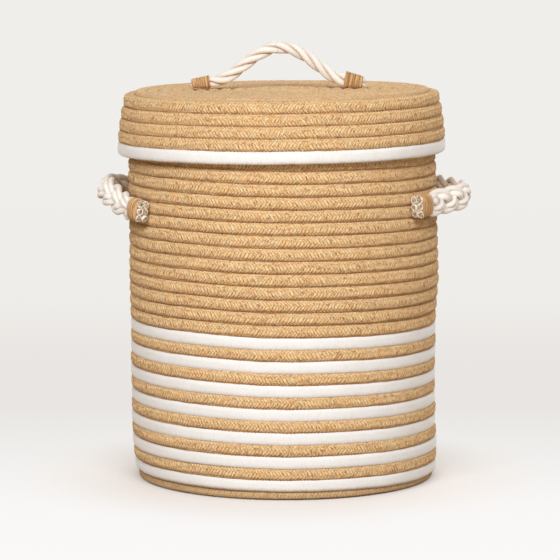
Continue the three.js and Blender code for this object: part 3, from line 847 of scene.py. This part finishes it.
def tube_along(name, middle, facing, half_width, half_height, sides, start=0.0, band=(0, 1), cut=()):
    """Tube round a line of points. facing is the direction in which the half width is measured.
    band is the tube's share of the flat layout. cut adds closing rings past the last point, each with
    its distance ahead, its share of the section and its place in the core, from 0 to 1."""
    along = unit(np.gradient(middle, axis=0))
    face = unit(facing - np.sum(facing * along, -1, keepdims=True) * along)
    side = np.cross(face, along)
    angle = np.arange(sides) * 2 * math.pi / sides
    wide = face[:, None] * (half_width[:, None] * np.cos(angle))[..., None]
    high = side[:, None] * (half_height[:, None] * np.sin(angle))[..., None]
    section = wide + high
    rows = [middle[:, None] + section]
    core = [np.zeros((len(middle), sides))]
    draw = np.random.default_rng(round(abs(start) * 1000) + 5)
    lumps = draw.uniform(0, 2 * math.pi, 2)
    uneven = CUT_LUMPS[0] * np.sin(2 * angle + lumps[0]) + CUT_LUMPS[1] * np.sin(3 * angle + lumps[1])
    slanted = draw.normal(size=2) * CUT_SLANT
    slope = section[-1] @ (face[-1] * slanted[0] + side[-1] * slanted[1])
    for ahead, share, inside in cut:
        rough = inside * CUT_ROUGH * draw.normal(size=(sides, 1))
        ring = section[-1] * (share * (1 + uneven[:, None] * min(1, ahead / MM + inside)))
        rows.append((middle[-1] + along[-1] * (ahead + rough + slope[:, None] * share) + ring)[None])
        core.append(np.full((1, sides), inside))
    points = np.concatenate(rows)
    travelled = way_along(middle)
    travelled = np.concatenate([travelled, travelled[-1] + STEP * np.arange(1, len(cut) + 1)]) + start
    rope = []
    for ahead, aside in CORNERS:
        far = travelled[np.arange(len(points) - 1) + ahead][:, None] + np.zeros(sides)
        arc = (np.arange(sides) + aside)[None, :] / sides + 0 * far
        rope.append(np.stack([far, arc], -1))
    flat = strip_map(len(points) - 1, sides, 1.0)
    flat[..., 1] = (band[0] + flat[..., 1]) / band[1]
    piece = tube_mesh(name, points, {"Rope": np.stack(rope, 2), "OFBake": flat})
    attribute = piece.data.attributes.new("core", "FLOAT", "POINT")
    attribute.data.foreach_set("value", np.concatenate(core).ravel().astype(np.float32))
    return piece


def joined(pieces, name):
    """The pieces as one object."""
    bpy.ops.object.select_all(action="DESELECT")
    for piece in pieces:
        piece.select_set(True)
    bpy.context.view_layer.objects.active = pieces[0]
    bpy.ops.object.join()
    pieces[0].name = name
    bpy.ops.object.select_all(action="DESELECT")
    return pieces[0]


def fray(name, places, towards, length, count, seed):
    """Bundles of loose fibre that stand out of cut ends, each a thin three-sided spike."""
    draw = np.random.default_rng(seed)
    points, faces = [], []
    for place in places:
        for _ in range(count):
            root = place + draw.normal(size=3) * FIBRE_SPREAD
            outward = unit(towards * 0.8 + draw.normal(size=3) * 0.7)
            tip = root + outward * length * draw.uniform(0.5, 1)
            aside = unit(np.cross(outward, draw.normal(size=3))) * FIBRE
            around = np.cross(outward, aside)
            faces += [tuple(len(points) + corner for corner in face) for face in SPIKE]
            points += [root + aside, root - aside / 2 + around, root - aside / 2 - around, tip]
    mesh = bpy.data.meshes.new(name)
    mesh.from_pydata([tuple(p) for p in points], [], faces)
    mesh.uv_layers.new(name="Rope")
    mesh.uv_layers.new(name="OFBake")
    mesh.attributes.new("core", "FLOAT", "POINT")
    piece = bpy.data.objects.new(name, mesh)
    bpy.context.collection.objects.link(piece)
    return piece


# painted shade where the strands of a rope meet
CORD_GROOVE_SHADE = tone(194, 168, 138)
CUT_RIM = tone(255, 242, 220)
# painted shade in the gaps among the loose fibres of a cut end
CUT_GAP_SHADE = tone(84, 60, 36)
TUFT_SCALE = 560.0  # tufts for each metre of a cut end


def cord_material(name, pale, shade, heart, groove_shade):
    """Soft cotton with faint fibres along it, darker by a share of painted shade on the side that lies in the
    rope, where the strands meet. Where it is cut, a pale rim goes round a heart of loose fibre with dark
    spots of painted shade among its fibres."""
    material, shader, start = new_material(name)
    far, arc = pair(start, "Rope")
    fibre = spread(far * 90 + arc * 4, arc * 26, 3)
    patch = spread(far * 60, arc * 3, 2, 2.3)
    core = start.node("ShaderNodeAttribute", {"attribute_name": "core"}, None, 2)
    bits = start.node("ShaderNodeTexCoord", None, None, 3)
    tuft = start.node("ShaderNodeTexNoise", None, {"Vector": bits, "Scale": TUFT_SCALE, "Detail": 2.0})
    colour = (patch.ramp(0.35, 0.7) * 0.5 + fibre.ramp(0.4, 0.7) * 0.4).mix(shade, pale)
    # painted shade on the side of a cord or strand that lies in the rope
    groove = 1 - (arc - 0.5).absolute().ramp(0.16, 0.4)
    colour = (groove * groove_shade * (1 - core.ramp(0.0, 0.02))).mix(colour, CORD_GROOVE_SHADE)
    on_cut = core.ramp(0.0, 0.1)
    colour = (on_cut * 0.8).mix(colour, CUT_RIM)
    inside = (core + tuft * 1.6 - 0.8).ramp(0.4, 0.75) * on_cut
    colour = inside.mix(colour, heart)
    # spots of painted shade among the loose fibres
    colour = (core.ramp(0.2, 0.6) * tuft.ramp(0.5, 0.58) * 0.9).mix(colour, CUT_GAP_SHADE)
    rough = 0.78 + 0.17 * fibre
    rise = fibre * 0.6 + core * tuft * 2
    finish_fibre(shader, colour, rough, rise, (0.4, 0.4 * MM), COTTON_FUZZ, 0.25)
    return material


DARK_TWINE = tone(164, 116, 68)
PALE_TWINE = tone(238, 204, 154)
# painted shade in the grooves of the twine's twist
TWINE_GROOVE_SHADE = tone(130, 82, 42)


def twine_material(name):
    """Fine golden jute twine, twisted, with paler and darker fibres and painted shade in the grooves of its
    twist.
    """
    material, shader, start = new_material(name)
    far, arc = pair(start, "Rope")
    ply = ((far / TWINE_TWIST + arc).fraction() * 2 - 1).absolute()
    fibre = spread(far * 260, arc * 9, 3)
    patch = spread(far * 26, arc * 1.2, 3, 4.1)
    light = fibre * 0.4 + patch * 1.1 - 0.25
    colour = light.ramp(0.3, 0.7).mix(DARK_TWINE, PALE_TWINE)
    # painted shade in the grooves between the twists
    colour = (ply.ramp(0.55, 1.0) * 0.35).mix(colour, TWINE_GROOVE_SHADE)
    rough = 0.82 + 0.15 * fibre
    rise = fibre * 0.5 - ply * 0.5
    finish_fibre(shader, colour, rough, rise, (0.5, 0.3 * MM), JUTE_FUZZ, 0.3)
    return material


def bound_twine(name, line, first, last, half_width, half_height, start):
    """Twine wound closely round a line between two places. The half sizes are functions of the place."""
    wraps = round(abs(last - first) / (TWINE * TWINE_STEP))
    turn = np.linspace(0, wraps, wraps * WRAP_RINGS + 1)
    share = turn / wraps
    wobble = TWINE_WOBBLE * np.sin(turn * 1.9 + start) * np.sin(math.pi * share)
    places = first + (last - first) * (WRAP_MARGIN + (1 - 2 * WRAP_MARGIN) * share) + wobble
    angle = turn * 2 * math.pi
    inset = np.clip(np.minimum(share, 1 - share) * wraps / TWINE_TUCK, 0, 1)
    wide = half_width(places) - (1 - inset) * TWINE
    high = half_height(places) - (1 - inset) * TWINE
    across = signed_power(np.cos(angle), WRAP_POWERS[0]) * wide
    out = signed_power(np.sin(angle), WRAP_POWERS[1]) * high
    middle = line.beside(places, across, out)
    facing = line.facing(places, across / wide ** 2, out / high ** 2)
    thick = np.full(len(turn), TWINE / 2)
    return tube_along(name, middle, facing, thick, thick * TWINE_WIDE, TWINE_SIDES, start)


def side_line(side, height, slope, turn, tilt, reach):
    """Middle of a side handle, from its cut end at the front to the one at the rear."""
    azimuth = math.radians(FOOT_AZIMUTH)
    foot = np.linspace(SHANK + BOUND + CUT, 0, 60)[:-1]
    share = np.linspace(-1, 1, 121)
    rise = reach * (1 - share ** 2) * (1 + GRIP_CROWN * share ** 2)
    run = HALF_SPAN + foot * math.cos(azimuth)
    drop = -foot * math.sin(azimuth)
    y = np.concatenate([-run, share * HALF_SPAN, run[::-1]])
    out = np.concatenate([drop, rise * math.cos(math.radians(tilt)), drop[::-1]])
    up = np.concatenate([0 * foot, rise * math.sin(math.radians(tilt)), 0 * foot])
    up = up + math.tan(math.radians(slope)) * y
    x = side * (HINGE_RADIUS + out)
    c = math.cos(math.radians(turn))
    s = math.sin(math.radians(turn))
    points = even_line(np.stack([c * x - s * y, s * x + c * y, height + up], -1), GRIP_SOFT)
    from_axis = np.linalg.norm(points[:, :2], axis=1)
    tilted = soft_step(from_axis, HINGE_RADIUS, HINGE_RADIUS + GRIP_TURN) * math.radians(tilt)
    across = np.stack([-side * np.sin(tilted), 0 * tilted, np.cos(tilted)], -1)
    return Line(points, across, np.array([side, 0, 0]))


def plait_half(name, line, towards, arrows):
    """One half of a plait, from the middle of the grip to a cut end. towards is -1 for the front end.
    arrows is the way that the plait's arrows point."""
    draw = np.random.default_rng(round(1000 * abs(line.points[0][2])) + towards)
    end = line.places[-1]
    bound = end - CUT - BOUND
    places = np.linspace(0, end, round(end / STEP) + 1) * towards
    rate = 2 * math.pi / PLAIT_PITCH
    gather = soft_step(np.abs(places), bound - GATHER[0], bound - GATHER[1])
    splay = soft_step(np.abs(places), end - CUT - SPLAY_LENGTH, end)
    spread_out = 1 + (SPLAY - 1) * splay
    phases = [PLAIT_PHASE + k * 2 * math.pi / 3 for k in range(3)]
    rows = np.argsort(np.argsort([math.sin(rate * bound * towards + phase) for phase in phases])) - 1
    cords, ends = [], []
    for k in range(3):
        swing = rate * places + phases[k]
        slope = np.arctan(SWAY * rate * np.cos(swing))
        over = arrows * np.sin(2 * swing)
        for m, member in enumerate((-1, 1)):
            number = 2 * k + m
            jitter = draw.normal(size=2) * CUT_STRAY
            across = SWAY * np.sin(swing) + member * PAIR * np.cos(slope)
            across = across * (1 - gather) + (rows[k] * ROW * spread_out + jitter[0] * splay) * gather
            out = WEAVE * over - member * STACK * np.sin(swing) * over
            out = out * (1 - gather) + (member * COLUMN * spread_out + jitter[1] * splay) * gather
            shifted = places - member * PAIR * np.sin(slope) * (1 - gather)
            shifted = shifted + towards * draw.uniform(*CUT_AHEAD) * MM * splay
            thick = CORD / 2 * (1 + (draw.uniform(*CUT_SWELL) - 1) * splay)
            middle = line.beside(shifted, across, out)
            halves = (thick * (1 - CORD_FLAT), thick * (1 + CORD_FLAT))
            start = 3.1 * number + (0 if towards < 0 else 40)
            cords.append(tube_along(f"{name}_{number}", middle, line.at(shifted, line.out), *halves,
                                    CORD_SIDES, start, (number, PLAIT_BANDS), CORD_CUT))
            ends.append(middle[-1])
    inside = np.linspace(end - CUT - PLUG_DEEP, end - PLUG_SHORT, PLUG_RINGS) * towards
    halves = [np.full(PLUG_RINGS, half) for half in PLUG]
    plug = tube_along(f"{name}_plug", line.at(inside, line.points), line.at(inside, line.out), *halves,
                      CORD_SIDES, 9.0, (6, PLAIT_BANDS))
    plug.data.attributes["core"].data.foreach_set("value", np.ones(len(plug.data.vertices), np.float32))
    last, before = (-1, -2) if towards > 0 else (0, 1)
    away = unit(line.points[last] - line.points[before])
    upward = np.array([0, 0, 1])
    loose = fray(f"{name}_fray", ends, away, *FRAY, round(1000 * abs(ends[0][2]) + towards))
    top = max(ends, key=lambda place: place[2]) + away * MM + upward * TUFT_RISE
    tuft = fray(f"{name}_tuft", [top], away + upward * 0.9, *TUFT, 300 + towards)
    return joined([*cords, plug, loose, tuft], name)


def soft_piece(half, material, fixed, swinging, start, stop, *nodes):
    """Finish of a rope half: smooth faces and its material, its points set where they lie, and the given
    nodes hidden.
    """
    surface(half, material)
    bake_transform(half)
    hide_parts(*nodes)


def barrel(size, middle):
    """Half size of a bound foot, which swells a little at the middle of its twine."""
    return lambda place: size + BARREL * (1 - ((np.abs(place) - middle) / (BOUND / 2)) ** 2)


white_cord = cord_material("white_cord", tone(254, 253, 251), tone(246, 242, 236), tone(204, 186, 156), 0.65)
twine = twine_material("jute_twine")
for handle, (side, height, slope, turn, tilt, reach, arrows) in SIDE_HANDLES.items():
    line = side_line(side, height, slope, turn, tilt, reach)
    strands = [f"{handle}_strand_{k}" for k in (1, 2, 3)]
    tail = line.places[-1]
    sizes = [barrel(size, tail - CUT - BOUND / 2) for size in WHIPPING]
    for end, towards in (("front", -1), ("rear", 1)):
        half = plait_half(f"{handle}_{end}_plait", line, towards, arrows)
        outer = towards * (tail - CUT)
        inner = towards * (tail - CUT - BOUND)
        start, stop = line.at(np.array([inner, towards * (tail - GRIP_FREE)]), line.points)
        soft_piece(half, white_cord, "basket", handle, start, stop, f"{handle}_{end}_rope_end", *strands)
        whipping = f"{handle}_{end}_whipping"
        winding = bound_twine(whipping, line, outer, inner, *sizes, side + 2.0 * towards)
        dress(winding, twine, "basket", "jute_twine", whipping)

# Lid handle
# A laid cotton rope of three strands that arches over the lid. Its feet lie flat on the lid, each bound
# with jute twine that tapers to the cut end.
LAID_SPAN = 164 * MM  # between the two bound feet
LAID_SHIFT = -7 * MM  # how far the arch's middle lies to the right of the axis
LAID_RISE = 41 * MM  # height of the arch over its feet
LAID_CROWN = -0.82  # how much fuller the arch is towards its feet, below 0 for a slimmer one
LAID_SKEW = 0.17  # how much fuller it is on the right
LAID_ASKEW = -8 * MM  # how far the right foot lies towards the front
LAID_SOFT = 5 * MM  # length over which the arch turns into its feet
LAID_FOOT = 5 * MM  # how far within the twine the arch begins to rise
LAID_FREE = 28 * MM  # distance from the twine to the place where the rope's free stretch begins
LAID_GATHER = 14 * MM  # stretch before the twine over which the rope is drawn in
LAID_PITCH = 70 * MM  # length of rope in which a strand goes once round
LAID_RADIUS = 4.35 * MM  # from the rope's middle to the middle of a strand
LAID_STRAND = 7.2 * MM  # thickness of a strand
LAID_FLAT = (0.96, 1.1)  # a strand's height and width, as shares of its thickness
LAID_SIDES = 18
LAID_BOUND = 23 * MM  # length of the twine on a foot
LAID_CUT = 1.4 * MM  # cut strands beyond the twine
LAID_HALF = 7.7 * MM  # half the rope's thickness
FEET = {"left": -1, "right": 1}
FOOT_RADII = {-1: (8.4 * MM, 5.9 * MM), 1: (11.2 * MM, 7.8 * MM)}  # of the twine, at its inner and outer end


def foot_radius(side, place, span):
    """Outer radius of the twine on a lid handle's foot at a distance from the rope's middle."""
    return np.interp(np.abs(place), [span, span + LAID_BOUND], FOOT_RADII[side])


def foot_size(side, span):
    """Half size of a bound foot of the lid handle, to the middle of the twine."""
    return lambda place: foot_radius(side, place, span) - TWINE / 2


def laid_line():
    """Middle of the lid handle from its left cut end to the right one."""
    half = LAID_SPAN / 2
    x = np.linspace(-half - LAID_BOUND - LAID_CUT, half + LAID_BOUND + LAID_CUT, 260)
    share = np.clip(x / (half - LAID_FOOT), -1, 1)
    arch = LAID_RISE * (1 - share ** 2) * (1 + LAID_SKEW * share + LAID_CROWN * share ** 2)
    low = np.where(x < 0, foot_radius(-1, x, half), foot_radius(1, x, half))
    mid = np.interp(x, [-half, half], [foot_radius(-1, half, half), foot_radius(1, half, half)])
    z = LID_TOP + np.where(np.abs(x) > half, low, mid) + arch
    y = LAID_ASKEW * (x - x[0]) / (x[-1] - x[0])
    points = even_line(np.stack([LAID_SHIFT + x, y, z], -1), LAID_SOFT)
    return Line(points, np.array([0, 1, 0]) + 0 * points, np.array([0, 0, 1]))


def laid_half(name, line, towards):
    """One half of the laid rope, from the middle of the arch to a cut end."""
    end = line.places[-1]
    inner = end - LAID_CUT - LAID_BOUND
    places = np.linspace(0, end, round(end / STEP) + 1) * towards
    foot = (foot_radius(towards, places, inner) - TWINE) / LAID_HALF
    bound = soft_step(np.abs(places), inner - LAID_GATHER, inner)
    size = 1 + (foot - 1) * bound
    strands = []
    for k in range(3):
        swing = 2 * math.pi * places / LAID_PITCH + k * 2 * math.pi / 3
        reach = LAID_RADIUS * size
        middle = line.beside(places, reach * np.cos(swing), reach * np.sin(swing))
        facing = line.facing(places, np.cos(swing), np.sin(swing))
        halves = [LAID_STRAND / 2 * size * flat for flat in LAID_FLAT]
        strand = tube_along(f"{name}_{k}", middle, facing, *halves, LAID_SIDES, 80 + 3 * k, (k, 3), CORD_CUT)
        strands.append(strand)
    return joined(strands, name)


laid_cotton = cord_material("laid_cotton", tone(250, 248, 244), tone(240, 235, 228), tone(205, 186, 158), 0.5)
line = laid_line()
strands = [f"lid_handle_strand_{k}" for k in (1, 2, 3)]
foot = line.places[-1] - LAID_CUT - LAID_BOUND
for end, towards in FEET.items():
    half = laid_half(f"lid_handle_{end}_half", line, towards)
    start, stop = line.at(np.array([towards * foot, towards * (foot - LAID_FREE)]), line.points)
    stop[2] = start[2]
    soft_piece(half, laid_cotton, "lid", "lid_handle", start, stop, f"lid_handle_{end}_rope_end", *strands)
    whipping = f"lid_handle_{end}_whipping"
    size = foot_size(towards, foot)
    outer = towards * (foot + LAID_BOUND)
    winding = bound_twine(whipping, line, outer, towards * foot, size, size, 5.0 + towards)
    dress(winding, twine, "lid", "jute_twine", whipping)

# Studio
# A pale floor without a horizon, a soft lamp before the object, a weaker one behind it and light from all
# round. The camera stands far off before the object and looks down on it a little.
FLOOR_SIZE = 60  # metres
FLOOR_DROP = 0.2 * MM  # how far the studio's floor lies under the object
# The camera sees the floor glow in these tones, painted light: brightest before the object, darkest about
# half a metre behind it and a little paler farther off.
FLOOR_TONES = [
    (0.0, tone(251, 249, 248)),
    (0.095, tone(249, 247, 246)),
    (0.174, tone(241, 239, 237)),
    (0.27, tone(232, 229, 226)),
    (0.39, tone(234, 230, 227)),
    (0.54, tone(238, 236, 232)),
    (1.0, tone(240, 238, 235)),
]
TONES_BEFORE = 0.6  # metres before the object at which the floor's tones begin
TONES_DEPTH = 4.2  # metres over which they run
SHADOW_REACH = (0.17, 0.36)  # metres from the axis between which the object's shadow fades out
SHADOW_GLOW = 0.25  # share of the even tone that is left in it
BOUNCE = tone(186, 173, 157)  # the floor as it lights the object
PAPER = tone(246, 243, 240)
WORLD_TONE = tone(255, 230, 205)
WORLD_STRENGTH = 0.24
LAMP_AIM = (0, 0, 0.3)
FRONT_LAMP = ((-0.25, -3.35, 2.55), 4.4, 1.1, 173)  # place, width and height in metres, and watts
BACK_LAMP = ((0.8, 3.3, 1.6), 4.0, 1.5, 80)
CAMERA_LENS = 209.06
CAMERA_PLACE = (-3.6 * MM, -4, 0.725)
CAMERA_PITCH = 6.87  # degrees that it looks down

bpy.ops.mesh.primitive_plane_add(size=FLOOR_SIZE, location=(0, 0, -FLOOR_DROP))
ground = bpy.context.object
ground.name = "studio_floor"
paper, shader, start = new_material("pale_paper")
shader.inputs["Roughness"].default_value = 0.95
shader.inputs["Specular IOR Level"].default_value = 0
coordinates = start.node("ShaderNodeTexCoord", None, None, 3)
back = start.node("ShaderNodeSeparateXYZ", None, {0: coordinates}, 1)
seen = start.node("ShaderNodeValToRGB", {"stops": FLOOR_TONES}, {0: (back + TONES_BEFORE) / TONES_DEPTH})
distance = start.node("ShaderNodeVectorMath", {"operation": "LENGTH"}, {0: coordinates}, 1)
path = start.node("ShaderNodeLightPath", None, None, "Is Camera Ray")
looked_at = path
for ray in ("Is Glossy Ray", "Is Transmission Ray"):
    looked_at = path.math("MAXIMUM", looked_at, path.other(ray))
start.tree.links.new(looked_at.mix(BOUNCE, PAPER).socket, shader.inputs["Base Color"])
glow = start.node("ShaderNodeEmission", None, {"Color": seen, "Strength": 1.0})
lit = Signal(start.tree, shader.outputs[0])
even = looked_at * (SHADOW_GLOW + (1 - SHADOW_GLOW) * distance.ramp(*SHADOW_REACH))
both = start.node("ShaderNodeMixShader", None, {0: even, 1: lit, 2: glow})
start.tree.links.new(both.socket, start.tree.nodes["Material Output"].inputs["Surface"])
ground.data.materials.append(paper)

world = bpy.data.worlds.new("studio_light")
bpy.context.scene.world = world
world.use_nodes = True
world.node_tree.nodes["Background"].inputs["Color"].default_value = WORLD_TONE
world.node_tree.nodes["Background"].inputs["Strength"].default_value = WORLD_STRENGTH


def soft_lamp(name, place, width, height, watts):
    """A softbox turned towards the object."""
    lamp = bpy.data.lights.new(name, "AREA")
    lamp.shape = "RECTANGLE"
    lamp.size = width
    lamp.size_y = height
    lamp.energy = watts
    box = bpy.data.objects.new(name, lamp)
    bpy.context.collection.objects.link(box)
    box.location = place
    towards = Vector(LAMP_AIM) - box.location
    box.rotation_euler = towards.to_track_quat("-Z", "Y").to_euler()


soft_lamp("front_softbox", *FRONT_LAMP)
soft_lamp("back_softbox", *BACK_LAMP)

camera = bpy.data.cameras.new("camera")
camera.lens = CAMERA_LENS
viewer = bpy.data.objects.new("camera", camera)
bpy.context.collection.objects.link(viewer)
look_down = Matrix.Rotation(math.radians(90 - CAMERA_PITCH), 4, "X")
viewer.matrix_world = Matrix.Translation(CAMERA_PLACE) @ look_down
bpy.context.scene.camera = viewer
bpy.context.scene.view_settings.view_transform = "Standard"
